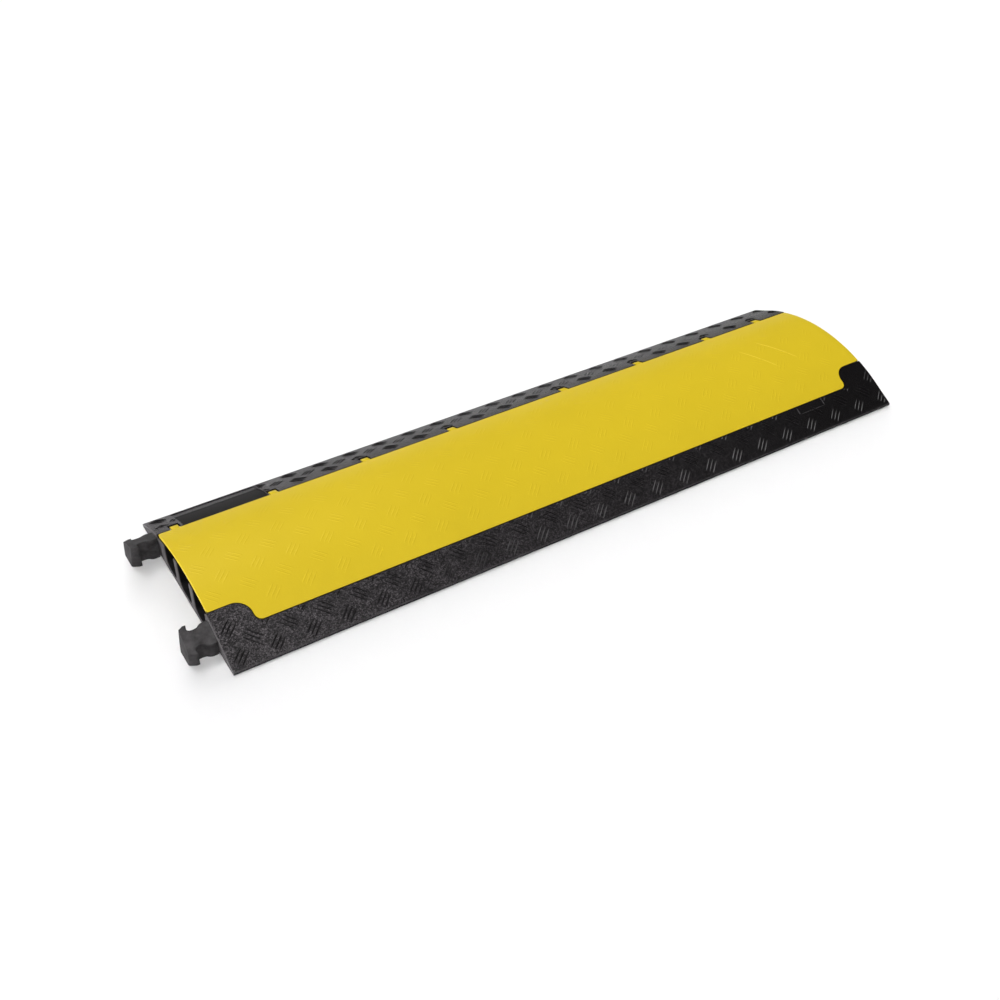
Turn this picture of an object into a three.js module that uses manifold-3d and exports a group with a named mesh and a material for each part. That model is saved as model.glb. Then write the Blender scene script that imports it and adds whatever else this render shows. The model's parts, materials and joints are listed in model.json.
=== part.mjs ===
// Low arched floor cover for cords: a black moulded ramp body with three open
// channels, a hinged yellow lid over them and the rod that the lid turns on.
// Millimetres. Places are measured here from the body's male end face (x), from the
// middle line (y, positive towards the hinge) and from the floor (z); the finished
// meshes are moved along x so that the origin is under the middle of the whole part.
import * as THREE from 'three';
import { mergeVertices } from 'three/addons/utils/BufferGeometryUtils.js';
import Module from 'manifold-3d';

// Body
const LENGTH = 1000;          // end face to end face
const WIDTH = 293;            // toe to toe
const CROWN = 47;             // height of the arched top at mid width
const TOE = 3.2;              // blunt upright edge at each toe
const TOE_RUN = 24;           // straight last part of each ramp, from the arch to the toe
const ARCH_STEPS = 64;        // straight pieces across the top

// Channels for the cords, side by side from the free side of the lid
const CHANNEL_WIDTHS = [35.5, 38, 33.5];
const CHANNEL_WALL = 10.75;   // between two channels
const CHANNELS_OFF = -7.25;   // middle of the row of channels from the middle line
const CHANNEL_FLOOR = 4;      // material under each channel
const CHANNEL_CORNER = 11;    // radius between channel floor and walls

// Lid
const LID_THICK = 4;
const LID_REACH = 104.8;      // middle line to the free edge along most of the length
const LID_REACH_END = 75;     // the same where the edge steps back at both ends
const STEP_FLANK = 49;        // from the end face to the flank of the step
const STEP_OUTER = 19.5;      // radius of the step beside the end
const STEP_INNER = 9;         // radius of the step beside the long free edge
const LID_GAP = 0.9;          // open line round the lid
const LID_IN_MALE = 2;        // lid set in from the male end face
const LID_IN_POCKET = 0.4;    // lid set in from the pocket end face
const SEAT_GAP = 0.3;         // lid underside to the seat

// Hinge along the lid's far edge
const HINGE_FOOT = 92;        // middle line to where the arch is square above the hinge
const HINGE_DEPTH = 4.5;      // hinge line below the arch
const ROD_R = 2;
const ROD_CLEAR = 0.3;        // round the rod
const KNUCKLE_R = 4.2;
const KNUCKLE_WIDTH = 10;
const KNUCKLE_PAD = 3.4;      // flat top runs on past the hinge line
const KNUCKLES_MALE = [25, 155, 285, 415];     // from the male end face
const KNUCKLES_POCKET = [53, 149, 275, 404];   // from the pocket end face
const NOTCH_WIDTH = 14;
const NOTCH_CLEAR = 0.7;      // under and beside a knuckle
const NOTCH_BEYOND = 9.5;     // from the hinge line to the notch's outer wall, at the top
const LID_SWEEP = 9.6;        // radius of the lid's far edge about the hinge line
const BARREL_GAP = 1.6;       // lid's far edge to the body's rounded edge
const ROD_END_GAP = 5;        // from the outer notches to the rod's ends

// Male connectors at one end, matching pockets at the other
const LINK_AT = 94;           // middle line to the middle of a connector
const LINK_OUT = 37;          // beyond the end face
const LINK_DROP = 3.4;        // connector top below the arch
const LINK_ROOT = 2;          // how far the connector is let into the body
const HEAD_HALF = 17.4;       // half the width over the hooked tips
const HEAD_FRONT = 11.5;      // half the width of the flat front
const HEAD_LEAN = 0.1;        // share of its height by which the front leans back
const HEAD_THICK = 11;        // front to the bottom of the notch
const TIP_BACK = 1.2;         // how far a tip curls back over the notch
const TIP_SHANK = 8.2;        // front to where the tip's outside turns
const HEAD_CORNER = 2.2;      // easing between the front and the slanted side
const NECK_HALF = 9.3;
const NECK_FROM = 14;         // end face to the neck
const SHOULDER_HALF = 13.5;
const SHOULDER_OUT = 7;
const SHOULDER_GAP = 0.8;     // open line between the end face and the shoulders
const SHOULDER_EASE = 0.6;
const ROOT_HALF = 11.4;
const POCKET_CLEAR = 0.8;
const POCKET_ROOF = 3.9;      // skin over a pocket

// Smooth sunk panel on the ramp beside the hinge
const PANEL_FROM = 35;        // from the male end face
const PANEL_TO = 147.5;
const PANEL_FOOT = 3.5;       // from the toe
const PANEL_DEEP = 1.1;

const OVER = 5;               // how far cutting shapes run past the body
const CURVE = 8;

const arch = arcRadius(WIDTH, CROWN);
const half = WIDTH / 2;
const drop = arch - CROWN;
const knuckles = [...KNUCKLES_MALE, ...KNUCKLES_POCKET.map((at) => LENGTH - at)];

const wasm = await Module();
wasm.setup();

function arcRadius(chord, rise) {
  return (chord * chord / 4 + rise * rise) / (2 * rise);
}

// Height of the top, or of the surface lying a given depth under it: an arch between
// the straight last parts of the ramps
function topZ(y, depth) {
  const bend = half - TOE_RUN;
  const r = arch - depth;
  const across = Math.min(Math.abs(y), bend);
  const z = Math.sqrt(r * r - across * across) - drop;
  const down = (Math.abs(y) - across) / TOE_RUN;
  return z + down * (TOE - depth - z);
}

function topLine(y0, y1, depth) {
  const points = [];
  for (let i = 0; i <= ARCH_STEPS; i += 1) {
    const y = y0 + (y1 - y0) * i / ARCH_STEPS;
    points.push([y, topZ(y, depth)]);
  }
  return points;
}

function solid(geometry) {
  geometry.deleteAttribute('normal');
  geometry.deleteAttribute('uv');
  const merged = mergeVertices(geometry, 1e-4);
  const mesh = new wasm.Mesh({
    numProp: 3,
    vertProperties: new Float32Array(merged.attributes.position.array),
    triVerts: new Uint32Array(merged.index.array),
  });
  return new wasm.Manifold(mesh);
}

// A cross-section, given as points (y, z), drawn out along the body
function alongBody(points, x0, x1) {
  const shape = new THREE.Shape(points.map(([y, z]) => new THREE.Vector2(y, z)));
  const geometry = new THREE.ExtrudeGeometry(shape, { depth: x1 - x0, bevelEnabled: false });
  const turn = new THREE.Matrix4().makeBasis(
    new THREE.Vector3(0, 1, 0),
    new THREE.Vector3(0, 0, 1),
    new THREE.Vector3(1, 0, 0),
  );
  geometry.applyMatrix4(turn);
  geometry.translate(x0, 0, 0);
  return solid(geometry);
}

// A side view, given as points (x, z), drawn out across the body
function acrossBody(points, y0, y1) {
  const shape = new THREE.Shape(points.map(([x, z]) => new THREE.Vector2(x, z)));
  const geometry = new THREE.ExtrudeGeometry(shape, { depth: y1 - y0, bevelEnabled: false });
  geometry.rotateX(Math.PI / 2);
  geometry.translate(0, y1, 0);
  return solid(geometry);
}

// A plan outline drawn up from z0 to z1
function upright(shape, z0, z1) {
  const geometry = new THREE.ExtrudeGeometry(shape, {
    depth: z1 - z0,
    bevelEnabled: false,
    curveSegments: CURVE,
  });
  geometry.translate(0, 0, z0);
  return solid(geometry);
}

function rodAlong(y, z, r, x0, x1, sides) {
  const geometry = new THREE.CylinderGeometry(r, r, x1 - x0, sides);
  geometry.rotateZ(Math.PI / 2);
  geometry.translate((x0 + x1) / 2, y, z);
  return solid(geometry);
}

// Everything under a surface a given depth below the top
function underTop(depth, x0, x1) {
  const line = topLine(half, -half, depth);
  return alongBody([[-half, -OVER], [half, -OVER], ...line], x0, x1);
}

// Everything above a surface a given depth below the top, between two lines
function aboveTop(depth, y0, y1, x0, x1) {
  const line = topLine(y0, y1, depth);
  return alongBody([...line, [y1, CROWN + OVER], [y0, CROWN + OVER]], x0, x1);
}

// Hinge line under the arch, and points placed from it: t down the slope, n square to it
const slope = Math.asin(HINGE_FOOT / arch);
const hingeY = (arch - HINGE_DEPTH) * Math.sin(slope);
const hingeZ = (arch - HINGE_DEPTH) * Math.cos(slope) - drop;

function fromHinge(points) {
  return points.map(([t, n]) => [
    hingeY + t * Math.cos(slope) + n * Math.sin(slope),
    hingeZ - t * Math.sin(slope) + n * Math.cos(slope),
  ]);
}

// Plan of the lid, or of its seat when grown by the open line round it. The free
// edge steps back at both ends by a round outer and a round inner corner.
function lidPlan(grow, from, to) {
  const near = -LID_REACH - grow;
  const nearEnd = -LID_REACH_END - grow;
  const outer = STEP_OUTER - grow;
  const inner = STEP_INNER + grow;
  const flank = STEP_FLANK - grow;
  const far = hingeY;
  const shape = new THREE.Shape();
  shape.moveTo(from, far);
  shape.lineTo(from, nearEnd);
  shape.lineTo(flank - outer, nearEnd);
  shape.absarc(flank - outer, nearEnd - outer, outer, Math.PI / 2, 0, true);
  shape.lineTo(flank, near + inner);
  shape.absarc(flank + inner, near + inner, inner, Math.PI, Math.PI * 1.5, false);
  shape.lineTo(LENGTH - flank - inner, near);
  shape.absarc(LENGTH - flank - inner, near + inner, inner, Math.PI * 1.5, Math.PI * 2, false);
  shape.lineTo(LENGTH - flank, nearEnd - outer);
  shape.absarc(LENGTH - flank + outer, nearEnd - outer, outer, Math.PI, Math.PI / 2, true);
  shape.lineTo(to, nearEnd);
  shape.lineTo(to, far);
  shape.closePath();
  return shape;
}

// Plan of one connector, or of its pocket when grown: a narrow root, shoulders, a neck
// between two round notches and a head whose tips hook back. The pocket's shoulders
// run out through the end face. One half is drawn and mirrored.
function linkPlan(grow, x, y) {
  const notch = -(LINK_OUT - HEAD_THICK) + grow;
  const root = ROOT_HALF + grow;
  const shoulderFrom = grow > 0 ? LINK_ROOT : -SHOULDER_GAP;
  const shoulder = SHOULDER_HALF + grow;
  const neck = NECK_HALF + grow;
  const neckMiddle = -(NECK_FROM - notch) / 2;
  const line = new THREE.Path();
  line.moveTo(LINK_ROOT + grow, root);
  line.lineTo(shoulderFrom, root);
  line.lineTo(shoulderFrom, shoulder - SHOULDER_EASE);
  line.lineTo(shoulderFrom - SHOULDER_EASE, shoulder);
  line.lineTo(-SHOULDER_OUT, shoulder);
  line.quadraticCurveTo(-(SHOULDER_OUT + NECK_FROM) / 2, shoulder, -NECK_FROM, neck + 1);
  line.quadraticCurveTo(-NECK_FROM - 2, neck, neckMiddle, neck);
  line.quadraticCurveTo(notch, neck, notch, (neck + HEAD_HALF) / 2);
  line.quadraticCurveTo(notch, HEAD_HALF - TIP_BACK, notch + TIP_BACK, HEAD_HALF - TIP_BACK / 2);
  line.lineTo(notch + TIP_BACK / 2, HEAD_HALF + grow);
  line.lineTo(-LINK_OUT + TIP_SHANK, HEAD_HALF + grow);
  line.lineTo(-LINK_OUT + HEAD_CORNER / 2 - grow / 2, HEAD_FRONT + HEAD_CORNER + grow);
  line.lineTo(-LINK_OUT - grow, HEAD_FRONT + grow);
  const side = line.getPoints(CURVE - 3);
  const other = side.slice().reverse().map((p) => new THREE.Vector2(p.x, -p.y));
  const all = [...side, ...other].map((p) => new THREE.Vector2(p.x + x, p.y + y));
  return new THREE.Shape(all);
}

// Both edges of every channel
function channelEdges() {
  const count = CHANNEL_WIDTHS.length;
  const total = CHANNEL_WIDTHS.reduce((sum, w) => sum + w, CHANNEL_WALL * (count - 1));
  let from = CHANNELS_OFF - total / 2;
  return CHANNEL_WIDTHS.map((width) => {
    const edges = [from, from + width];
    from += width + CHANNEL_WALL;
    return edges;
  });
}

function channelLine([from, to]) {
  const low = CHANNEL_FLOOR;
  const r = CHANNEL_CORNER;
  const path = new THREE.Path();
  path.moveTo(from, CROWN + OVER);
  path.lineTo(from, low + r);
  path.absarc(from + r, low + r, r, Math.PI, Math.PI * 1.5, false);
  path.absarc(to - r, low + r, r, Math.PI * 1.5, Math.PI * 2, false);
  path.lineTo(to, CROWN + OVER);
  return path.getPoints(CURVE).map((p) => [p.x, p.y]);
}

// Body: arched bar, seat for the lid, channels, hinge notches and rod hole,
// connectors added at one end and pockets cut at the other
function buildBase() {
  const outline = [
    [-half, 0],
    [half, 0],
    [half, TOE],
    ...topLine(half, -half, 0).slice(1, -1),
    [-half, TOE],
  ];
  let base = alongBody(outline, 0, LENGTH);

  const barrelR = LID_SWEEP - BARREL_GAP;
  const barrel = rodAlong(hingeY, hingeZ, barrelR, -OVER, LENGTH + OVER, 64);
  const seatDepth = LID_THICK + SEAT_GAP;
  const above = aboveTop(seatDepth, -LID_REACH - OVER, hingeY, -OVER, LENGTH + OVER);
  const seatPlan = lidPlan(LID_GAP, -OVER, LENGTH + OVER);
  const seat = above.intersect(upright(seatPlan, 0, CROWN + OVER));
  base = base.subtract(seat.subtract(barrel));

  for (const channel of channelEdges()) {
    base = base.subtract(alongBody(channelLine(channel), -OVER, LENGTH + OVER));
  }

  const deep = Math.hypot(KNUCKLE_R, KNUCKLE_PAD) + NOTCH_CLEAR;
  const notch = fromHinge([
    [-deep - 0.3, -deep],
    [deep + 0.5, -deep],
    [NOTCH_BEYOND, HINGE_DEPTH + OVER],
    [-LID_SWEEP - 1, HINGE_DEPTH + OVER],
    [-LID_SWEEP - 1, HINGE_DEPTH - seatDepth - 0.2],
    [-deep - 0.3, HINGE_DEPTH - seatDepth - 0.2],
  ]);
  for (const at of knuckles) {
    base = base.subtract(alongBody(notch, at - NOTCH_WIDTH / 2, at + NOTCH_WIDTH / 2));
  }
  const panelTop = hingeY - LID_SWEEP - OVER;
  const panelFoot = half - PANEL_FOOT;
  base = base.subtract(aboveTop(PANEL_DEEP, panelTop, panelFoot, PANEL_FROM, PANEL_TO));
  const [rodFrom, rodTo] = rodEnds();
  const holeR = ROD_R + ROD_CLEAR;
  base = base.subtract(rodAlong(hingeY, hingeZ, holeR, rodFrom - ROD_CLEAR, rodTo + ROD_CLEAR, 32));

  const lean = acrossBody([
    [-LINK_OUT, 0],
    [OVER, 0],
    [OVER, CROWN],
    [-LINK_OUT + HEAD_LEAN * CROWN, CROWN],
  ], -half, half);
  const underLink = underTop(LINK_DROP, -LINK_OUT - OVER, OVER).intersect(lean);
  const underRoof = underTop(POCKET_ROOF, LENGTH - LINK_OUT - OVER, LENGTH + OVER);
  for (const y of [-LINK_AT, LINK_AT]) {
    base = base.add(upright(linkPlan(0, 0, y), 0, CROWN).intersect(underLink));
    const pocket = upright(linkPlan(POCKET_CLEAR, LENGTH, y), -OVER, CROWN);
    base = base.subtract(pocket.intersect(underRoof));
  }
  return base;
}

function rodEnds() {
  const reach = NOTCH_WIDTH / 2 + ROD_END_GAP;
  return [Math.min(...knuckles) - reach, Math.max(...knuckles) + reach];
}

// Lid: a plate that follows the arch, its far edge hollowed round the hinge line,
// with one knuckle in every notch
function buildLid() {
  const y0 = -LID_REACH - 1;
  const top = topLine(hingeY, y0, 0);
  const under = topLine(y0, hingeY, LID_THICK);
  const plate = alongBody([...under, ...top], 0, LENGTH);
  const plan = lidPlan(0, LID_IN_MALE, LENGTH - LID_IN_POCKET);
  let lid = plate.intersect(upright(plan, 0, CROWN + OVER));
  lid = lid.subtract(rodAlong(hingeY, hingeZ, LID_SWEEP, -OVER, LENGTH + OVER, 64));

  const arm = fromHinge([
    [-LID_SWEEP - 4, HINGE_DEPTH - LID_THICK + 0.3],
    [KNUCKLE_PAD, HINGE_DEPTH - LID_THICK + 0.3],
    [KNUCKLE_PAD, KNUCKLE_R],
    [-LID_SWEEP - 4, KNUCKLE_R - 0.15],
  ]);
  const bore = rodAlong(hingeY, hingeZ, ROD_R + ROD_CLEAR, -OVER, LENGTH + OVER, 32);
  for (const at of knuckles) {
    const from = at - KNUCKLE_WIDTH / 2;
    const to = at + KNUCKLE_WIDTH / 2;
    const knuckle = rodAlong(hingeY, hingeZ, KNUCKLE_R, from, to, 40);
    lid = lid.add(knuckle.add(alongBody(arm, from, to)).subtract(bore));
  }
  return lid;
}

function buildRod() {
  const [from, to] = rodEnds();
  return rodAlong(hingeY, hingeZ, ROD_R, from, to, 32);
}

function piece(name, body, colour, roughness, metalness) {
  const mesh = body.getMesh();
  const geometry = new THREE.BufferGeometry();
  geometry.setAttribute('position', new THREE.BufferAttribute(new Float32Array(mesh.vertProperties), 3));
  geometry.setIndex(new THREE.BufferAttribute(new Uint32Array(mesh.triVerts), 1));
  geometry.translate(-(LENGTH - LINK_OUT) / 2, 0, 0);
  geometry.computeVertexNormals();
  const material = new THREE.MeshStandardMaterial({ color: colour, roughness, metalness });
  const node = new THREE.Mesh(geometry, material);
  node.name = name;
  return node;
}

const cover = new THREE.Group();
cover.name = 'cord_cover';
cover.add(piece('base', buildBase(), 0x343236, 0.62, 0));
cover.add(piece('lid', buildLid(), 0xe3c62c, 0.42, 0));
cover.add(piece('hinge_rod', buildRod(), 0x8a8c8f, 0.35, 1));

export default cover;
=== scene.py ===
"""Floor cord cover, dressed round its packed construction model.

A black rubber body with a ramp on each long side and three cord channels lies on a
pale floor. A yellow lid, hinged along one ramp, closes the channels from above.
"""
import json

import bpy
import numpy as np
from mathutils import Matrix, Vector


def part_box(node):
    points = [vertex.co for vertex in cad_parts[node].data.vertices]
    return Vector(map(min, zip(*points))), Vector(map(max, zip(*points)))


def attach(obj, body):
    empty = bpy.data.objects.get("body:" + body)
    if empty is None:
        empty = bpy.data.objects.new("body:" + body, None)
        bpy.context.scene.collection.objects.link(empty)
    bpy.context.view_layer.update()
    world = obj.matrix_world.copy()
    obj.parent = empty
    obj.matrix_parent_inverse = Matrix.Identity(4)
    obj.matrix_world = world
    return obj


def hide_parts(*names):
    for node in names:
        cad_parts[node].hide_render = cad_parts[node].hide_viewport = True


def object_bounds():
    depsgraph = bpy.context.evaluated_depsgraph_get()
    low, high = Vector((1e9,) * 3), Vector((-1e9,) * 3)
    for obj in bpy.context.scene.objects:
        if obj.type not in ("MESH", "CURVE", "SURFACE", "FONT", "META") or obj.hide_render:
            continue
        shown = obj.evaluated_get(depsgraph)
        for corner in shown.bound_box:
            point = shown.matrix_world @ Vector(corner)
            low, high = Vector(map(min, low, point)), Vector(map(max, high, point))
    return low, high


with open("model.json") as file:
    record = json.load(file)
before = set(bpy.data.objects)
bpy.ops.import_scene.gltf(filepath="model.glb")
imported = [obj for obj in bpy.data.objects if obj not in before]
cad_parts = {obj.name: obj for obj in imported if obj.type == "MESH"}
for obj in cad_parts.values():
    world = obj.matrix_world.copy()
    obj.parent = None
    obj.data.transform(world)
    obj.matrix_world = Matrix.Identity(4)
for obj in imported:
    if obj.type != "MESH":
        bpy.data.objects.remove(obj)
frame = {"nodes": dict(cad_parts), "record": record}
cad_low, cad_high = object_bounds()


# Ramp body. One moulding of black rubber: two ramps, the walls and floors of the
# channels, and hooked connectors at one end. The mould was grained on the ramps and
# left smooth in the channels, on the connectors and in the panel beside the hinge.

body_low, body_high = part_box("base")
HALF_WIDE = body_high.y               # middle line to the toe
CROWN = cad_high.z                    # height of the arch over the middle line
RADIUS = (HALF_WIDE ** 2 + CROWN ** 2) / (2 * CROWN)     # of the arch
RAMP_FOOT = 0.024                     # straight last part of each ramp
TOE = 0.0032                          # upright edge at each toe
TOE_HIGHLIGHT_IN = 0.002                   # painted highlight along its upper edge, in from the toe's face
TOE_HIGHLIGHT_UP = 0.0005                  # and up and down from that edge
CONNECTOR_OUT = 0.037                 # connectors beyond the end face
MALE_END = body_low.x + CONNECTOR_OUT
POCKET_END = body_high.x
NOTCHES_MALE = (0.025, 0.155, 0.285, 0.415)      # end face to the hinge notches
NOTCHES_POCKET = (0.053, 0.149, 0.275, 0.404)
PANEL_FROM = MALE_END + 0.035         # smooth panel beside the hinge
PANEL_TO = MALE_END + 0.1475
RUBBER_BLACK = (0.0014, 0.0011, 0.0013, 1)
RUBBER_DUST_AND_GLINT = (0.0555, 0.0500, 0.0535, 1)       # a pebble greyed all over, partly dusty and partly a painted glint
RUBBER_HANDLED_AND_HIGHLIT = (0.0420, 0.0400, 0.0410, 1)     # wear on the connectors, and a painted highlight along the toes
# darker end of the connectors' wear and of the toes' painted highlight
RUBBER_WORN_AND_HIGHLIT = (0.0120, 0.0110, 0.0115, 1)
RUBBER_END_HIGHLIGHT = (0.0560, 0.0520, 0.0545, 1)         # painted highlight on the face and edges of the male end
END_HIGHLIGHT_IN = 0.0004                       # middle of that painted highlight band, in from the end face
END_HIGHLIGHT_REACH = 0.0006                    # and how far it goes to both sides
CONNECTOR_FADE = 0.0004               # the connectors' wear sets in over this length
RUBBER_TRODDEN = (0.0030, 0.0026, 0.0028, 1)
RUBBER_IOR = 1.21
TRODDEN_IOR = 1.26
GRAIN_SIZE = 0.0012                   # one pebble of the ramps' grain
GRAIN_DEPTH = 0.0004
GRAIN_CONTRAST = 2.2                  # exponent that leaves few pebbles pale
GRAIN_FULL = 0.0003                   # the grain goes from full to none between these
GRAIN_NONE = 0.0009                   # two depths under the arch
DUST_AND_GLINT_FROM = MALE_END                  # the pebbles are palest at this end, and less and less so up to there: partly dusty, partly painted glints
DUST_AND_GLINT_TO = 0.40                        # less so up to there
DUST_AND_GLINT_MOST = 1.1
DUST_AND_GLINT_LEAST = 0.05
BODY_EDGE = 0.0006                    # rounding of the moulding's edges
BODY_WELD = 0.00001                   # corners this near to each other are one corner
BODY_FLAT = 0.1                       # degrees: triangles this level with each other are a face
BODY_SHARP = 28                       # degrees: edges that turn more than this are rounded


def shader_node(tree, kind, **values):
    """A new node of a material, with its sockets set by name."""
    node = tree.nodes.new(kind)
    for name, value in values.items():
        node.inputs[name.replace("_", " ")].default_value = value
    return node


def blend(tree, one, other, share):
    """A mix of two colours, each given as a value or as a socket, by a share."""
    mix = tree.nodes.new("ShaderNodeMix")
    mix.data_type = "RGBA"
    for name, colour in (("A", one), ("B", other)):
        if isinstance(colour, tuple):
            mix.inputs[name].default_value = colour
        else:
            tree.links.new(colour, mix.inputs[name])
    tree.links.new(share, mix.inputs["Factor"])
    return mix.outputs["Result"]


def worked(tree, operation, *values):
    """The result of a maths node, its operands given as numbers or as sockets."""
    node = tree.nodes.new("ShaderNodeMath")
    node.operation = operation
    for place, value in enumerate(values):
        if isinstance(value, (int, float)):
            node.inputs[place].default_value = value
        else:
            tree.links.new(value, node.inputs[place])
    return node.outputs[0]


def arch_depth(tree, at_surface, below):
    """1 on the arch and above it, falling to 0 at a depth below it.

    The distance from the arch's centre line is the length of (y, z + R - crown), and
    it is compared with the arch's radius R."""
    coords = tree.nodes.new("ShaderNodeTexCoord")
    lifted = tree.nodes.new("ShaderNodeVectorMath")
    lifted.operation = "ADD"
    lifted.inputs[1].default_value = (0, 0, RADIUS - CROWN)
    tree.links.new(coords.outputs["Object"], lifted.inputs[0])
    across = tree.nodes.new("ShaderNodeVectorMath")
    across.operation = "MULTIPLY"
    across.inputs[1].default_value = (0, 1, 1)
    tree.links.new(lifted.outputs[0], across.inputs[0])
    radius = tree.nodes.new("ShaderNodeVectorMath")
    radius.operation = "LENGTH"
    tree.links.new(across.outputs[0], radius.inputs[0])
    share = shader_node(tree, "ShaderNodeMapRange", From_Min=RADIUS - below,
                        From_Max=RADIUS - at_surface)
    share.interpolation_type = "SMOOTHSTEP"
    tree.links.new(radius.outputs["Value"], share.inputs["Value"])
    return share.outputs["Result"]


def black_rubber(name):
    """Carbon-black rubber of the body.

    The ramps have a grain of pebbles, each greyed by its own amount: partly dirt from soles,
    and partly painted glints, which are strongest at the male end and fade along the cover.
    The rest is smooth. It is grey from wear on the connectors, with a painted highlight
    along the toes' upper edge and a painted highlight on the end face and edges beside the
    connectors."""
    material = bpy.data.materials.new(name)
    material.use_nodes = True
    tree = material.node_tree
    shader = tree.nodes["Principled BSDF"]
    shader.inputs["IOR"].default_value = RUBBER_IOR
    coords = tree.nodes.new("ShaderNodeTexCoord")
    place = tree.nodes.new("ShaderNodeSeparateXYZ")
    tree.links.new(coords.outputs["Object"], place.inputs[0])
    on_ramp = arch_depth(tree, GRAIN_FULL, GRAIN_NONE)

    pebbles = shader_node(tree, "ShaderNodeTexVoronoi", Scale=1 / GRAIN_SIZE, Randomness=1)
    patches = shader_node(tree, "ShaderNodeTexNoise", Scale=26, Detail=5, Roughness=0.65)
    wear = shader_node(tree, "ShaderNodeTexNoise", Scale=95, Detail=4, Roughness=0.6)
    for texture in (pebbles, patches, wear):
        tree.links.new(coords.outputs["Object"], texture.inputs["Vector"])
    pebble = tree.nodes.new("ShaderNodeSeparateColor")
    tree.links.new(pebbles.outputs["Color"], pebble.inputs[0])
    # Painted glints: the pebbles are made palest at the male end and less so along the cover.
    along = shader_node(tree, "ShaderNodeMapRange", From_Min=DUST_AND_GLINT_FROM, From_Max=DUST_AND_GLINT_TO,
                        To_Min=DUST_AND_GLINT_MOST, To_Max=DUST_AND_GLINT_LEAST)
    tree.links.new(place.outputs["X"], along.inputs["Value"])
    by_patch = shader_node(tree, "ShaderNodeMapRange", From_Min=0.3, From_Max=0.7,
                           To_Min=0.6, To_Max=1.4)
    tree.links.new(patches.outputs["Fac"], by_patch.inputs["Value"])
    # Each pebble's pale grey is partly dusty and partly a painted glint.
    dust_and_glints = worked(tree, "POWER", pebble.outputs[0], GRAIN_CONTRAST)
    for share in (along.outputs["Result"], by_patch.outputs["Result"], on_ramp):
        dust_and_glints = worked(tree, "MULTIPLY", dust_and_glints, share)
    ramp = blend(tree, RUBBER_BLACK, RUBBER_DUST_AND_GLINT, dust_and_glints)

    connector = shader_node(tree, "ShaderNodeMapRange", From_Min=MALE_END,
                            From_Max=MALE_END - CONNECTOR_FADE)
    tree.links.new(place.outputs["X"], connector.inputs["Value"])
    off_middle = worked(tree, "ABSOLUTE", place.outputs["Y"])
    # A band along the toes' upper edge takes the connectors' wear colours as a painted highlight.
    toe = worked(tree, "GREATER_THAN", off_middle, HALF_WIDE - TOE_HIGHLIGHT_IN)
    at_rim = worked(tree, "COMPARE", place.outputs["Z"], TOE, TOE_HIGHLIGHT_UP)
    toe = worked(tree, "MULTIPLY", toe, at_rim)
    handled_and_highlit = worked(tree, "MAXIMUM", connector.outputs["Result"], toe)
    by_wear = shader_node(tree, "ShaderNodeMapRange", From_Min=0.3, From_Max=0.75)
    tree.links.new(wear.outputs["Fac"], by_wear.inputs["Value"])
    worn_and_highlit = blend(tree, RUBBER_WORN_AND_HIGHLIT, RUBBER_HANDLED_AND_HIGHLIT, by_wear.outputs["Result"])
    body_colour = blend(tree, ramp, worn_and_highlit, handled_and_highlit)
    # A thin band at the male end's face and edges is painted pale: a painted highlight.
    cut = worked(tree, "COMPARE", place.outputs["X"], MALE_END + END_HIGHLIGHT_IN, END_HIGHLIGHT_REACH)
    tree.links.new(blend(tree, body_colour, RUBBER_END_HIGHLIGHT, cut), shader.inputs["Base Color"])

    strength = shader_node(tree, "ShaderNodeMapRange", To_Min=0.08, To_Max=1.0)
    tree.links.new(on_ramp, strength.inputs["Value"])
    bump = shader_node(tree, "ShaderNodeBump", Distance=GRAIN_DEPTH)
    tree.links.new(strength.outputs["Result"], bump.inputs["Strength"])
    tree.links.new(pebbles.outputs["Distance"], bump.inputs["Height"])
    tree.links.new(bump.outputs["Normal"], shader.inputs["Normal"])
    gloss = shader_node(tree, "ShaderNodeMapRange", To_Min=0.7, To_Max=0.34)
    tree.links.new(on_ramp, gloss.inputs["Value"])
    tree.links.new(gloss.outputs["Result"], shader.inputs["Roughness"])
    return material


def trodden_and_highlit_rubber(name, pale, highlit_at=None):
    """The same rubber on the treads, where soles and tyres have scrubbed it clean, mottled
    with a given paler colour. For the bars that lean forward and for the bead, that paler
    colour is a painted highlight.

    highlit_at is (middle, reach). The paleness is full up to half that reach from that
    place along the cover, and fades to none at the whole reach."""
    material = bpy.data.materials.new(name)
    material.use_nodes = True
    tree = material.node_tree
    shader = tree.nodes["Principled BSDF"]
    shader.inputs["IOR"].default_value = TRODDEN_IOR
    coords = tree.nodes.new("ShaderNodeTexCoord")
    rubs = shader_node(tree, "ShaderNodeTexNoise", Scale=160, Detail=3, Roughness=0.6)
    tree.links.new(coords.outputs["Object"], rubs.inputs["Vector"])
    share = rubs.outputs["Fac"]
    if highlit_at:
        middle, reach = highlit_at
        place = tree.nodes.new("ShaderNodeSeparateXYZ")
        tree.links.new(coords.outputs["Object"], place.inputs[0])
        away = worked(tree, "SUBTRACT", place.outputs["X"], middle)
        away = worked(tree, "ABSOLUTE", away)
        fade = shader_node(tree, "ShaderNodeMapRange", From_Min=reach, From_Max=reach / 2)
        tree.links.new(away, fade.inputs["Value"])
        share = worked(tree, "MULTIPLY", share, fade.outputs["Result"])
    colour = blend(tree, RUBBER_BLACK, pale, share)
    tree.links.new(colour, shader.inputs["Base Color"])
    gloss = shader_node(tree, "ShaderNodeMapRange", To_Min=0.22, To_Max=0.38)
    tree.links.new(rubs.outputs["Fac"], gloss.inputs["Value"])
    tree.links.new(gloss.outputs["Result"], shader.inputs["Roughness"])
    return material


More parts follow.
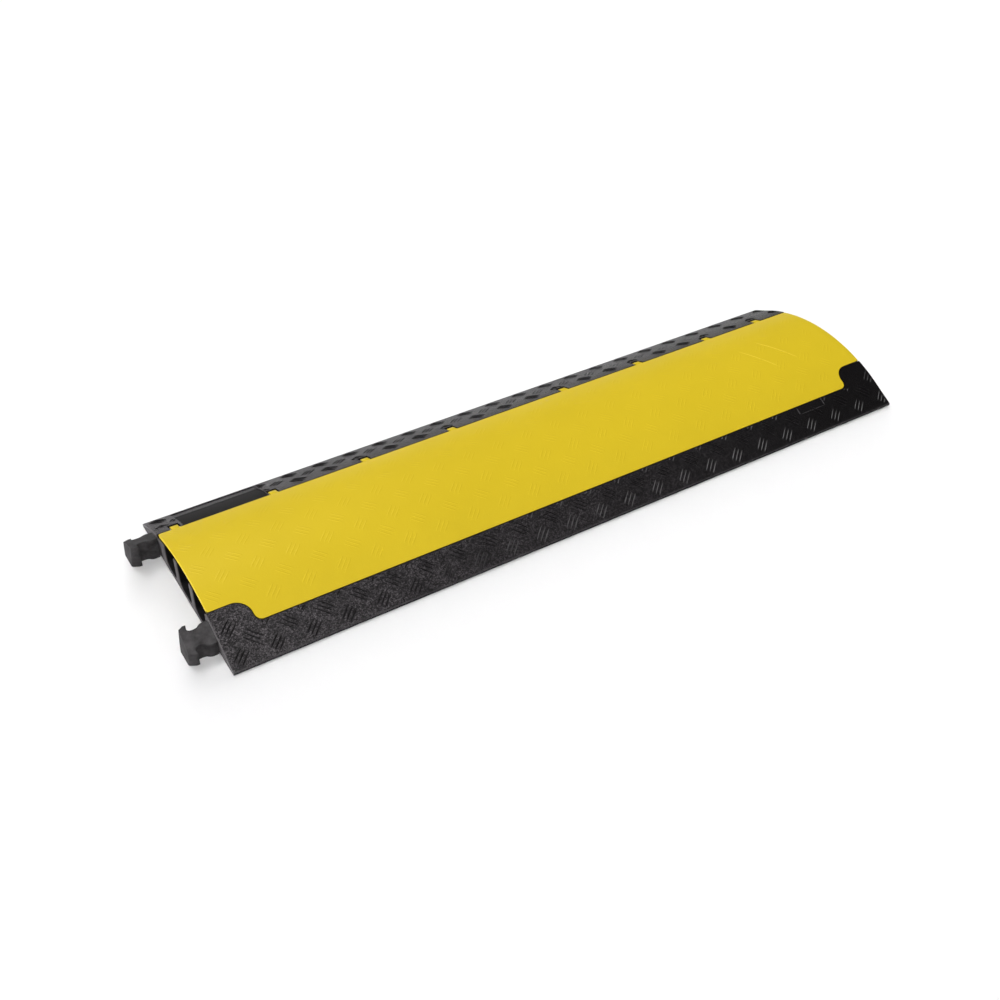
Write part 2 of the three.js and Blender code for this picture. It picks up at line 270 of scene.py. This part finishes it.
def round_edges(piece, width, segments):
    """Joins a piece's loose triangles into faces and rounds its edges, as live modifiers."""
    weld = piece.modifiers.new("weld", "WELD")
    weld.merge_threshold = BODY_WELD
    flats = piece.modifiers.new("flats", "DECIMATE")
    flats.decimate_type = "DISSOLVE"
    flats.angle_limit = np.radians(BODY_FLAT)
    bevel = piece.modifiers.new("edges", "BEVEL")
    bevel.width = width
    bevel.segments = segments
    bevel.limit_method = "ANGLE"
    bevel.angle_limit = np.radians(BODY_SHARP)
    bevel.use_clamp_overlap = True
    normals = piece.modifiers.new("normals", "WEIGHTED_NORMAL")
    normals.mode = "FACE_AREA"
    normals.keep_sharp = False


def paint(piece, material):
    """Gives a piece one material and smooth shading."""
    piece.data.materials.clear()
    piece.data.materials.append(material)
    piece.data.shade_smooth()


notches = np.concatenate([
    MALE_END + np.array(NOTCHES_MALE),
    POCKET_END - np.array(NOTCHES_POCKET),
])
rubber = black_rubber("black rubber")
body = frame["nodes"]["base"]
round_edges(body, BODY_EDGE, 2)
paint(body, rubber)


# Treads of the ramps. Groups of three low bars, moulded with the body, lean to and fro in
# rows along each ramp. The lid, the panel, the notches and the end faces cut some short.
# A bead of the same moulding marks off a plain field near one end. The bead and the
# near ramp's bars that lean forward are painted paler: painted highlights.

TREAD_PITCH = 0.04454                 # from one group to the next along the cover
TREAD_BAR = 0.0215                    # length of a bar
TREAD_WIDE = 0.0024
TREAD_HIGH = 0.00098
TREAD_BLUNT = 1.05                    # exponent of a bar's section, lower for a sharper ridge
TREAD_SPACE = 0.0050                  # between the bars of a group
TREAD_SUNK = 0.0003                   # bar's foot below the ramp's surface
TREAD_TIP = 0.003                     # least of 1 - u^4, which keeps a bar's tips blunt
TREAD_LEAST = 0.3                     # shorter stubs of a cut bar are left out
TREAD_CLEAR = 0.001                   # end faces and panel to the bars cut beside them
TREAD_PAST = 0.008                    # a row's groups go on this far past the end face
ROW_OUTER = 0.1404                    # middle line to each row, along the arch
ROW_MIDDLE = 0.1226
ROW_INNER = 0.1042
FIRST_EVEN = 0.0158                   # male end to a row's first group, in the two
FIRST_ODD = 0.0372                    # kinds of rows that take turns
LEAN = np.pi / 4
LID_LINE = 0.1092                     # middle line to the lid's edge, along the arch
LID_LINE_END = 0.0775                 # the same where the lid steps back
LID_STEP = 0.040                      # end face to the last bar beside the stepped edge
NOTCH_LINE = 0.1048                   # middle line to a notch's outer wall
NOTCH_REACH = 0.0146                  # notch's middle to the first bar clear of it
PLAIN_FROM = 0.855                    # plain field on the near ramp, from the male end
PLAIN_TO = 0.900
PLAIN_LINE = 0.1208                   # middle line to its lower edge, along the arch
BEAD_WIDE = 0.0014                    # low bead round that field
BEAD_HIGH = 0.0005
# the bead's pale colour, a painted highlight
BEAD_HIGHLIGHT = (0.0650, 0.0620, 0.0640, 1)
FORWARD_HIGHLIGHT = (0.0520, 0.0500, 0.0515, 1)        # painted highlight on the near ramp's bars that lean forward
FORWARD_HIGHLIGHT_MIDDLE = 0.10                  # the painted highlight is strongest about here along the cover
FORWARD_HIGHLIGHT_REACH = 0.34                   # and not at all this far from there


def on_top(x, s, lift):
    """Points at x along the cover and arc length s from its middle line, lifted off the top.

    The arch is a circle of radius R about a line under the middle line, so that
    y = (R + lift) sin(s / R) and z = (R + lift) cos(s / R) - (R - crown). Beyond the
    bend the top runs straight down to the toe."""
    bend_y = HALF_WIDE - RAMP_FOOT
    bend_z = np.sqrt(RADIUS ** 2 - bend_y ** 2) - (RADIUS - CROWN)
    bend = RADIUS * np.arcsin(bend_y / RADIUS)
    dip = np.arctan2(bend_z - TOE, RAMP_FOOT)
    angle = np.minimum(np.abs(s), bend) / RADIUS
    beyond = np.maximum(np.abs(s) - bend, 0)
    y = (RADIUS + lift) * np.sin(angle) + beyond * np.cos(dip)
    z = (RADIUS + lift) * np.cos(angle) - (RADIUS - CROWN) - beyond * np.sin(dip)
    return np.stack(np.broadcast_arrays(x, np.sign(s) * y, z), axis=-1)


def mesh_piece(name, points, faces, material):
    """A smooth-shaded piece from an array of points and a list of faces."""
    mesh = bpy.data.meshes.new(name)
    mesh.from_pydata(points.reshape(-1, 3), [], faces)
    mesh.update()
    piece = bpy.data.objects.new(name, mesh)
    bpy.context.scene.collection.objects.link(piece)
    paint(piece, material)
    return piece


def between(bars, axis, low, high):
    """Shortens bars to what lies between two lines across axis 0 (x) or axis 1 (s).

    A bar's half length reaches TREAD_BAR / 2 times the cosine of its lean along x, and
    times the sine along s, so a line cuts it at the share (line - middle) / reach."""
    x, s, lean, start, end = bars.T
    middle = (x, s)[axis]
    reach = TREAD_BAR / 2 * (np.cos(lean), np.sin(lean))[axis]
    one = (low - middle) / reach
    other = (high - middle) / reach
    start = np.maximum(start, np.minimum(one, other))
    end = np.minimum(end, np.maximum(one, other))
    return np.stack([x, s, lean, start, end], axis=-1)[end - start > TREAD_LEAST]


def groups(first, s, lean):
    """A row of groups of three bars, a pitch apart, cut at the end faces.

    Each bar is a row of (x, s, lean, start, end), where start and end say from where
    to where it runs, as shares of its half length."""
    x = np.arange(MALE_END + first, POCKET_END + TREAD_PAST, TREAD_PITCH)[:, None]
    aside = np.array([-1, 0, 1]) * TREAD_SPACE
    bars = np.broadcast_arrays(x - aside * np.sin(lean), s + aside * np.cos(lean), lean, -1.0, 1.0)
    bars = np.stack(bars, axis=-1).reshape(-1, 5)
    return between(bars, 0, MALE_END + TREAD_CLEAR, POCKET_END - TREAD_CLEAR)


def tread(name, bars, width, height, sunk, blunt, material, stations=9):
    """Raised bars in one piece.

    A bar is a grid: stations u run from -1 to 1 along it, and a loop of eight points
    goes round its section, seven over the top at v from -1 to 1, where it rises as
    1 - |v|^blunt, and one underneath. Width and height both shrink towards the ends as
    (1 - u^4)^(1/2)."""
    u = np.sin(np.linspace(-1, 1, stations) * np.pi / 2)
    swell = np.sqrt(np.clip(1 - u ** 4, TREAD_TIP, 1))
    across = np.array([-1, -0.92, -0.14, 0, 0.14, 0.92, 1, 0])
    rise = 1 - np.abs(across) ** blunt
    x, s, lean, start, end = (column[:, None, None] for column in bars.T)
    along = TREAD_BAR / 2 * (start + (end - start) * (u[:, None] + 1) / 2)
    side = width / 2 * swell[:, None] * across
    lift = (height + sunk) * swell[:, None] * rise - sunk
    lift[:, -1] = -sunk * 2
    place = on_top(
        x + along * np.cos(lean) - side * np.sin(lean),
        s + along * np.sin(lean) + side * np.cos(lean),
        lift,
    )
    index = np.arange(place.size // 3).reshape(len(bars), len(u), len(across))
    turned = np.roll(index, -1, axis=2)
    sides = np.stack([index[:, :-1], turned[:, :-1], turned[:, 1:], index[:, 1:]], axis=-1)
    first, last = index[:, 0], index[:, -1]
    caps = [first[:, [3, 2, 1, 0]], first[:, [5, 4, 3, 0]], first[:, [7, 6, 5, 0]],
            last[:, [0, 1, 2, 3]], last[:, [0, 3, 4, 5]], last[:, [0, 5, 6, 7]]]
    faces = np.concatenate([sides.reshape(-1, 4), np.concatenate(caps)])
    return mesh_piece(name, place, faces.tolist(), material)


toe_line = 2 * HALF_WIDE              # any line beyond the toe
inner = groups(FIRST_EVEN, -ROW_INNER, LEAN)
from_end = np.minimum(inner[:, 0] - MALE_END, POCKET_END - inner[:, 0])
lid_line = np.where(from_end < LID_STEP, LID_LINE_END, LID_LINE)
near_bars = np.concatenate([
    groups(FIRST_EVEN, -ROW_OUTER, LEAN),
    groups(FIRST_ODD, -ROW_MIDDLE, -LEAN),
    between(inner, 1, -toe_line, -lid_line),
])
trodden = trodden_and_highlit_rubber("trodden rubber", RUBBER_TRODDEN)
clear = (near_bars[:, 1] > -PLAIN_LINE) & (near_bars[:, 0] > MALE_END + PLAIN_FROM)
clear &= near_bars[:, 0] < MALE_END + PLAIN_TO
near_bars = near_bars[~clear]
forward = near_bars[:, 2] > 0
near_treads = tread("near_ramp_treads", near_bars[~forward], TREAD_WIDE, TREAD_HIGH,
                    TREAD_SUNK, TREAD_BLUNT, trodden)
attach(near_treads, "body")
# The near ramp's bars that lean forward get a paler colour: a painted highlight.
highlit = trodden_and_highlit_rubber("rubbed rubber", FORWARD_HIGHLIGHT, (FORWARD_HIGHLIGHT_MIDDLE, FORWARD_HIGHLIGHT_REACH))
highlit_treads = tread("near_ramp_highlit_treads", near_bars[forward], TREAD_WIDE, TREAD_HIGH,
                      TREAD_SUNK, TREAD_BLUNT, highlit)
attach(highlit_treads, "body")

field_x = MALE_END + (PLAIN_FROM + PLAIN_TO) / 2
field_s = -(PLAIN_LINE + LID_LINE) / 2
half_long = (PLAIN_TO - PLAIN_FROM) / TREAD_BAR
half_high = (PLAIN_LINE - LID_LINE) / TREAD_BAR
bead = np.array([
    (field_x, -PLAIN_LINE, 0, -half_long, half_long),
    (MALE_END + PLAIN_FROM, field_s, np.pi / 2, -half_high, half_high),
    (MALE_END + PLAIN_TO, field_s, np.pi / 2, -half_high, half_high),
])
# The bead is painted pale all along: a painted highlight on the field's edge.
field = tread("near_ramp_bead", bead, BEAD_WIDE, BEAD_HIGH, TREAD_SUNK, TREAD_BLUNT,
              trodden_and_highlit_rubber("rubbed bead", BEAD_HIGHLIGHT))
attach(field, "body")

inner = groups(FIRST_EVEN, ROW_INNER, -LEAN)
from_notch = np.abs(inner[:, :1] - notches).min(axis=1)
notch_line = np.where(from_notch < NOTCH_REACH, NOTCH_LINE, 0)
far_bars = np.concatenate([
    groups(FIRST_EVEN, ROW_OUTER, -LEAN),
    groups(FIRST_ODD, ROW_MIDDLE, LEAN),
    between(inner, 1, notch_line, toe_line),
])
far_bars = np.concatenate([
    between(far_bars, 0, MALE_END, PANEL_FROM - TREAD_CLEAR),
    between(far_bars, 0, PANEL_TO + TREAD_CLEAR, POCKET_END),
])
far_treads = tread("far_ramp_treads", far_bars, TREAD_WIDE, TREAD_HIGH, TREAD_SUNK,
                   TREAD_BLUNT, trodden)
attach(far_treads, "body")


# Lid. A plate of yellow polyurethane that carries on the curve of the ramps and closes
# the channels. Its free edge steps back near both ends, its other edge is hollowed
# along the hinge, and the knuckles moulded on that edge turn on the rod.

LID_SUNK = 0.00013                    # plate's top below the arch: its treads reach up to it
LID_THICK = 0.0036
LID_NEAR = -0.1048                    # free edge, from the middle line
LID_NEAR_END = -0.075                 # the same where it steps back
LID_FAR = 0.0841                      # edge along the hinge
LID_IN_MALE = 0.002                   # set in from the end faces
LID_IN_POCKET = 0.0004
STEP_FLANK = 0.049                    # end face to the step's flank
STEP_OUTER = 0.0195                   # radii of the step
STEP_INNER = 0.009
NEAR_CORNER = 0.002
FAR_CORNER = 0.003
LID_EDGE = 0.0007                     # rounding of the plate's edges
LID_HOLLOW = 0.0011                   # far edge drawn in at the underside
LID_SPACE = 0.012                     # between stations along the plate
LID_ACROSS = 48                       # faces across the plate
STATION_LEAST = 0.0004                # least way along the far edge per station
KNUCKLE_R = 0.0042
KNUCKLE_PAD = 0.0034                  # flat top runs on past the hinge line
KNUCKLE_ROOT = 0.0105                 # hinge line back into the plate
KNUCKLE_WIDE = 0.010
LID_YELLOW = (0.588, 0.434, 0.0150, 1)
LID_DEEP = (0.526, 0.387, 0.0120, 1)
LID_SCUFF = (0.820, 0.630, 0.0650, 1)
LID_EDGE_SHADE = (0.060, 0.050, 0.0080, 1)            # painted shade on the rounded edge by the joint along the free edge
LID_SHADE_LINE = -0.070               # the painted shade lies on the near side of this line
LID_SHADE_FADE = 0.003                # and comes on over this width
EDGE_SHADE_FROM = LID_SUNK + 0.00002       # painted shade goes from none to full between these two
EDGE_SHADE_TO = LID_SUNK + 0.0002          # depths under the arch, on the plate's rounded edge
LID_SHEEN = (1.0, 0.84, 0.30, 1)
LID_IOR = 1.45
LID_ROUGH = 0.45


def yellow_polyurethane(name, deep, pale):
    """Satin moulded polyurethane, faintly mottled, with a fine orange-peel surface.

    The rounded edge along the near ramp is painted dark olive as painted shade."""
    material = bpy.data.materials.new(name)
    material.use_nodes = True
    tree = material.node_tree
    shader = tree.nodes["Principled BSDF"]
    shader.inputs["IOR"].default_value = LID_IOR
    shader.inputs["Roughness"].default_value = LID_ROUGH
    shader.inputs["Specular Tint"].default_value = LID_SHEEN
    coords = tree.nodes.new("ShaderNodeTexCoord")
    mottle = shader_node(tree, "ShaderNodeTexNoise", Scale=9, Detail=5, Roughness=0.6)
    tree.links.new(coords.outputs["Object"], mottle.inputs["Vector"])
    clean = blend(tree, deep, pale, mottle.outputs["Fac"])
    place = tree.nodes.new("ShaderNodeSeparateXYZ")
    tree.links.new(coords.outputs["Object"], place.inputs[0])
    # Painted shade: the plate's sunk rounded edge on the near side is made dark olive.
    near_side = shader_node(tree, "ShaderNodeMapRange", From_Min=LID_SHADE_LINE,
                            From_Max=LID_SHADE_LINE - LID_SHADE_FADE)
    tree.links.new(place.outputs["Y"], near_side.inputs["Value"])
    sunk = worked(tree, "SUBTRACT", 1, arch_depth(tree, EDGE_SHADE_FROM, EDGE_SHADE_TO))
    edge_shade = worked(tree, "MULTIPLY", near_side.outputs["Result"], sunk)
    tree.links.new(blend(tree, clean, LID_EDGE_SHADE, edge_shade), shader.inputs["Base Color"])
    peel = shader_node(tree, "ShaderNodeTexNoise", Scale=420, Detail=3, Roughness=0.55)
    tree.links.new(coords.outputs["Object"], peel.inputs["Vector"])
    bump = shader_node(tree, "ShaderNodeBump", Strength=0.25, Distance=0.0002)
    tree.links.new(peel.outputs["Fac"], bump.inputs["Height"])
    tree.links.new(bump.outputs["Normal"], shader.inputs["Normal"])
    return material


def arc(x, y, radius, start, end, count):
    """Points (x + r cos a, y + r sin a) on an arc in plan, with a in quarter turns."""
    angle = np.linspace(start, end, count) * np.pi / 2
    return np.stack([x + radius * np.cos(angle), y + radius * np.sin(angle)], axis=-1)


def lid_edges():
    """The lid's free edge and its far edge in plan, as stations that match in number.

    The free edge is a chain of arcs and straight runs. The far edge has a station for
    each of them, at about the same x."""
    x0, x1 = MALE_END + LID_IN_MALE, POCKET_END - LID_IN_POCKET
    flank0, flank1 = MALE_END + STEP_FLANK, POCKET_END - STEP_FLANK
    outer, inner = STEP_OUTER, STEP_INNER
    straight = np.arange(flank0 + inner + LID_SPACE, flank1 - inner - LID_SPACE / 2, LID_SPACE)
    near = np.concatenate([
        arc(x0 + NEAR_CORNER, LID_NEAR_END + NEAR_CORNER, NEAR_CORNER, 2, 3, 5),
        arc(flank0 - outer, LID_NEAR_END - outer, outer, 1, 0, 10),
        arc(flank0 + inner, LID_NEAR + inner, inner, 2, 3, 8),
        np.stack([straight, np.full_like(straight, LID_NEAR)], axis=-1),
        arc(flank1 - inner, LID_NEAR + inner, inner, 3, 4, 8),
        arc(flank1 + outer, LID_NEAR_END - outer, outer, 2, 1, 10),
        arc(x1 - NEAR_CORNER, LID_NEAR_END + NEAR_CORNER, NEAR_CORNER, 3, 4, 5),
    ])
    steps = np.maximum(np.diff(near[4:-4, 0]), STATION_LEAST)
    share = np.concatenate([[0], np.cumsum(steps)]) / steps.sum()
    x = x0 + FAR_CORNER + share * (x1 - x0 - 2 * FAR_CORNER)
    far = np.concatenate([
        arc(x0 + FAR_CORNER, LID_FAR - FAR_CORNER, FAR_CORNER, 2, 1, 5)[:-1],
        np.stack([x, np.full_like(x, LID_FAR)], axis=-1),
        arc(x1 - FAR_CORNER, LID_FAR - FAR_CORNER, FAR_CORNER, 1, 0, 5)[1:],
    ])
    return near, far


def inward(loop):
    """Unit normals of a closed plan loop, to its inner side where it runs anticlockwise.

    Each is the way from the point before to the point after, turned a quarter left."""
    along = np.roll(loop, -1, axis=0) - np.roll(loop, 1, axis=0)
    along /= np.linalg.norm(along, axis=1, keepdims=True)
    return np.stack([-along[:, 1], along[:, 0]], axis=-1)


def lid_plate():
    """The plate as points and faces.

    Its top is a grid from the free edge to the far edge, its underside another, and
    the band between them follows the outline through rings that are each drawn in by
    some distance and lie at some depth under the arch."""
    near, far = lid_edges()
    last, across = len(near) - 1, LID_ACROSS
    share = np.linspace(0, 1, across + 1)[1:-1, None]
    right = near[-1] + share * (far[-1] - near[-1])
    left = far[0] + share * (near[0] - far[0])
    loop = np.concatenate([near, right, far[::-1], left])
    normal = inward(loop)
    on_far = np.zeros(len(loop))
    on_far[last + across:last + across + last + 1] = 1

    turn = np.linspace(0, np.pi / 2, 5)
    draw_in = [1.5 * LID_EDGE, *(LID_EDGE * (1 - np.sin(turn))), 0, LID_EDGE / 4, LID_EDGE]
    depth = [0, *(LID_EDGE * (1 - np.cos(turn))), LID_THICK - LID_EDGE / 2,
             LID_THICK - LID_EDGE / 8, LID_THICK]
    draw_in, depth = np.array(draw_in)[:, None], np.array(depth)[:, None]
    hollow = draw_in + on_far * LID_HOLLOW * depth / LID_THICK
    ring = loop + hollow[:, :, None] * normal
    band = lid_place(ring[..., 0], ring[..., 1], depth)

    index = np.arange(band.size // 3).reshape(band.shape[:2])
    turned = np.roll(index, -1, axis=1)
    faces = [np.stack([index[:-1], index[1:], turned[1:], turned[:-1]], axis=-1).reshape(-1, 4)]
    points = [band.reshape(-1, 3)]
    count = band.size // 3
    for level, flip in ((0, 1), (-1, -1)):
        border = ring[level]
        one, other = border[:last + 1], border[last + across:last + across + last + 1][::-1]
        inside = one[1:-1, None] + share * (other - one)[1:-1, None]
        place = lid_place(inside[..., 0], inside[..., 1], depth[level])
        grid = np.empty((last + 1, across + 1), int)
        grid[:, 0] = index[level, :last + 1]
        grid[:, -1] = index[level, last + across:last + across + last + 1][::-1]
        grid[-1] = index[level, last:last + across + 1]
        grid[0, 1:-1] = index[level, last + across + last + 1:][::-1]
        grid[1:-1, 1:-1] = count + np.arange(place.size // 3).reshape(place.shape[:2])
        quads = np.stack([grid[:-1, :-1], grid[1:, :-1], grid[1:, 1:], grid[:-1, 1:]], axis=-1)
        faces.append(quads.reshape(-1, 4)[:, ::flip])
        points.append(place.reshape(-1, 3))
        count += place.size // 3
    return np.concatenate(points), np.concatenate(faces).tolist()


def lid_place(x, y, depth):
    """Plan points put at a depth under the plate's top, which follows the arch.

    The angle is asin(y / R), so y keeps its place on the arch, and the point then moves
    in along the radius."""
    angle = np.arcsin(y / RADIUS)
    r = RADIUS - LID_SUNK - depth
    place = np.broadcast_arrays(x, r * np.sin(angle), r * np.cos(angle) - (RADIUS - CROWN))
    return np.stack(place, axis=-1)


def lid_knuckles():
    """The knuckles as points and faces.

    A knuckle's profile is an arc of a circle round the hinge line, a flat top and a
    root inside the plate. It is carried across the knuckle's width through rings that
    are drawn in beside both flat faces."""
    angle = np.radians(np.linspace(-192, 36, 20))
    pad, top, root = KNUCKLE_PAD, KNUCKLE_R, KNUCKLE_ROOT
    profile = np.concatenate([
        KNUCKLE_R * np.stack([np.cos(angle), np.sin(angle)], axis=-1),
        [(pad, top * 0.8), (pad * 0.94, top * 0.95), (pad * 0.78, top)],
        [(-root, top * 0.97), (-root, top * 0.24)],
    ])
    normal = inward(profile)
    side = KNUCKLE_WIDE / 2 * np.array([-1, -0.96, -0.87, 0.87, 0.96, 1])
    draw_in = KNUCKLE_R * np.array([0.15, 0.04, 0, 0, 0.04, 0.15])
    ring = profile + draw_in[:, None, None] * normal
    slope = np.arctan2(hinge.y, hinge.z + RADIUS - CROWN)
    y = hinge.y + ring[..., 0] * np.cos(slope) + ring[..., 1] * np.sin(slope)
    z = hinge.z - ring[..., 0] * np.sin(slope) + ring[..., 1] * np.cos(slope)
    x = notches[:, None, None] + side[:, None]
    points = np.stack(np.broadcast_arrays(x, y, z), axis=-1)
    index = np.arange(points.size // 3).reshape(points.shape[:3])
    turned = np.roll(index, -1, axis=2)
    quads = np.stack([index[:, :-1], turned[:, :-1], turned[:, 1:], index[:, 1:]], axis=-1)
    faces = quads.reshape(-1, 4)[:, ::-1].tolist()
    return points.reshape(-1, 3), faces + index[:, 0].tolist() + index[:, -1, ::-1].tolist()


hinge = Vector(frame["record"]["behaviour"]["joints"][0]["pos_m"])
polyurethane = yellow_polyurethane("yellow polyurethane", LID_DEEP, LID_YELLOW)
plate = mesh_piece("lid_plate", *lid_plate(), polyurethane)
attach(plate, "lid")
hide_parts("lid")
knuckles = mesh_piece("lid_knuckles", *lid_knuckles(), polyurethane)
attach(knuckles, "lid")


# Treads of the lid. The same pattern of bars in eight rows, moulded with the plate but
# much lower and softer. Two long scuffs from something dragged over the lid cross them.

LID_ROW = 0.0224                      # from one row to the next, along the arch
LID_FIRST_ROW = -0.081
LID_BAR_WIDE = 0.0031
LID_BAR_BLUNT = 2.0
LID_BAR_SUNK = 0.0001                 # bar's foot below the plate's top
LID_RIM = 0.006                       # plain rim along the lid's ends
LID_TOP_LINE = 0.0800                 # middle line to the end of the treads at the hinge
STEP_CLEAR = 0.062                    # end face to the first bar beyond the step
SCUFFS = ((0.3850, -0.0090), (0.4224, -0.0029))  # middles of two long scuff lines
SCUFF_LONG = 0.070
SCUFF_LEAN = -1.11
SCUFF_WIDE = 0.0017

first_row = groups(FIRST_ODD, LID_FIRST_ROW, LEAN)
lid_bars = np.concatenate([
    between(first_row, 0, MALE_END + STEP_CLEAR, POCKET_END - STEP_CLEAR),
    *(
        groups(FIRST_ODD if row % 2 == 0 else FIRST_EVEN, LID_FIRST_ROW + row * LID_ROW,
               LEAN if row % 2 == 0 else -LEAN)
        for row in range(1, 8)
    ),
])
lid_bars = between(lid_bars, 0, MALE_END + LID_RIM, POCKET_END - LID_RIM)
lid_bars = between(lid_bars, 1, -toe_line, LID_TOP_LINE)
lid_treads = tread("lid_treads", lid_bars, LID_BAR_WIDE, 0, LID_SUNK + LID_BAR_SUNK,
                   LID_BAR_BLUNT, polyurethane)
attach(lid_treads, "lid")

half_scuff = SCUFF_LONG / TREAD_BAR
scuffs = np.array([
    (x, s, SCUFF_LEAN, -half_scuff, half_scuff) for x, s in SCUFFS
])
scuffed = yellow_polyurethane("scuffed polyurethane", LID_SCUFF, LID_YELLOW)
scuff_lines = tread("lid_scuffs", scuffs, SCUFF_WIDE, 0, LID_SUNK + LID_BAR_SUNK,
                    LID_BAR_BLUNT, scuffed, stations=33)
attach(scuff_lines, "lid")


# Hinge rod. A plain drawn steel rod that runs through the lid's knuckles and the body
# between them, in a hole that is closed at both ends.

ROD_STEEL = (0.55, 0.55, 0.56, 1)
ROD_LINES = (20, 3000, 3000)          # drawing lines are long along the rod, fine across it


def drawn_steel(name):
    """Steel with faint drawing lines along the rod."""
    material = bpy.data.materials.new(name)
    material.use_nodes = True
    tree = material.node_tree
    shader = tree.nodes["Principled BSDF"]
    shader.inputs["Base Color"].default_value = ROD_STEEL
    shader.inputs["Metallic"].default_value = 1
    coords = tree.nodes.new("ShaderNodeTexCoord")
    stretch = tree.nodes.new("ShaderNodeMapping")
    stretch.inputs["Scale"].default_value = ROD_LINES
    tree.links.new(coords.outputs["Object"], stretch.inputs["Vector"])
    lines = shader_node(tree, "ShaderNodeTexNoise", Scale=1, Detail=3)
    tree.links.new(stretch.outputs["Vector"], lines.inputs["Vector"])
    gloss = shader_node(tree, "ShaderNodeMapRange", To_Min=0.25, To_Max=0.5)
    tree.links.new(lines.outputs["Fac"], gloss.inputs["Value"])
    tree.links.new(gloss.outputs["Result"], shader.inputs["Roughness"])
    return material


rod = frame["nodes"]["hinge_rod"]
paint(rod, drawn_steel("drawn steel"))


# Floor, light and camera. A pale floor that runs past every view, soft lights and the
# camera at the photograph's place.

FLOOR_SIZE = 30
FLOOR_PALE = (0.76, 0.76, 0.76, 1)
FLOOR_ROUGH = 0.9
LAMPS_UP = 3                          # height of the far lamps, which has no effect
STUDIO_TINT = (1, 0.92, 0.96, 1)
STUDIO_GLOW = 0.1


def pale_floor():
    """A flat square floor under the cover."""
    corner = FLOOR_SIZE / 2
    mesh = bpy.data.meshes.new("floor")
    points = corner * np.array([(-1, -1, 0), (1, -1, 0), (1, 1, 0), (-1, 1, 0)])
    mesh.from_pydata(points, [], [(0, 1, 2, 3)])
    floor = bpy.data.objects.new("floor", mesh)
    bpy.context.scene.collection.objects.link(floor)
    material = bpy.data.materials.new("pale floor")
    material.use_nodes = True
    shader = material.node_tree.nodes["Principled BSDF"]
    shader.inputs["Base Color"].default_value = FLOOR_PALE
    shader.inputs["Roughness"].default_value = FLOOR_ROUGH
    mesh.materials.append(material)
    return floor


def put_light(name, light, place, toward, lit=None):
    """Puts a lamp at a place so that its light comes from a direction.

    lit is the collection that it shines on, where that isn't everything."""
    lamp = bpy.data.objects.new(name, light)
    lamp.location = place
    lamp.rotation_mode = "QUATERNION"
    lamp.rotation_quaternion = Vector(toward).to_track_quat("Z", "Y")
    lamp.light_linking.receiver_collection = lit
    bpy.context.scene.collection.objects.link(lamp)


def far_light(name, toward, spread, strength, lit=None):
    """A broad light far away in a direction, as wide as its spread in degrees."""
    light = bpy.data.lights.new(name, "SUN")
    light.angle = np.radians(spread)
    light.energy = strength
    put_light(name, light, (0, 0, LAMPS_UP), toward, lit)


def softbox(name, place, aim, size, power, lit=None):
    """A square lit panel at a place, turned to an aim."""
    light = bpy.data.lights.new(name, "AREA")
    light.shape = "SQUARE"
    light.size = size
    light.energy = power
    put_light(name, light, place, Vector(place) - Vector(aim), lit)


floor = pale_floor()
floor_alone = bpy.data.collections.new("floor alone")
floor_alone.objects.link(floor)
cover_alone = bpy.data.collections.new("all but the floor")
cover_alone.objects.link(floor)
cover_alone.collection_objects[0].light_linking.link_state = "EXCLUDE"
rubber_alone = bpy.data.collections.new("black rubber alone")
for piece in (body, near_treads, highlit_treads, far_treads, field):
    rubber_alone.objects.link(piece)
far_light("key", (-0.10, -0.50, 0.86), 24, 1.5)
far_light("overhead", (0.10, -0.10, 0.97), 40, 0.4)
far_light("back", (-0.16, 0.61, 0.77), 22, 1.75)
far_light("left", (-0.97, 0.12, 0.17), 16, 4.0, cover_alone)
far_light("front", (0.46, -0.84, 0.22), 14, 0.6, cover_alone)
far_light("along the floor", (0.30, 0.90, 0.25), 34, 3.9, floor_alone)
far_light("behind", (0.42, 0.88, 0.12), 30, 0.35, rubber_alone)
softbox("softbox", (-0.75, -0.55, 0.75), (-0.35, -0.12, 0), 0.5, 9, rubber_alone)
world = bpy.data.worlds.new("studio")
world.use_nodes = True
glow = world.node_tree.nodes["Background"]
glow.inputs["Color"].default_value = STUDIO_TINT
glow.inputs["Strength"].default_value = STUDIO_GLOW
bpy.context.scene.world = world

FRAME_WIDE = 1000                     # pixels
FOCAL_PIXELS = 1260
SENSOR_WIDE = 36                      # millimetres
CAMERA_PLACE = (-0.73675, -1.0955, 1.047)
CAMERA_YAW = 0.5635
CAMERA_PITCH = 0.698
CAMERA_ROLL = 0.0157
ahead = Vector((np.sin(CAMERA_YAW) * np.cos(CAMERA_PITCH),
                np.cos(CAMERA_YAW) * np.cos(CAMERA_PITCH),
                -np.sin(CAMERA_PITCH)))
level = Vector((np.cos(CAMERA_YAW), -np.sin(CAMERA_YAW), 0))
upward = level.cross(ahead)
right = np.cos(CAMERA_ROLL) * level + np.sin(CAMERA_ROLL) * upward
up = np.cos(CAMERA_ROLL) * upward - np.sin(CAMERA_ROLL) * level
camera = bpy.data.objects.new("camera", bpy.data.cameras.new("camera"))
camera.data.sensor_width = SENSOR_WIDE
camera.data.lens = SENSOR_WIDE * FOCAL_PIXELS / FRAME_WIDE
turned = Matrix((right, up, -ahead)).transposed().to_4x4()
camera.matrix_world = Matrix.Translation(CAMERA_PLACE) @ turned
bpy.context.scene.collection.objects.link(camera)
bpy.context.scene.camera = camera
bpy.context.scene.view_settings.view_transform = "Standard"
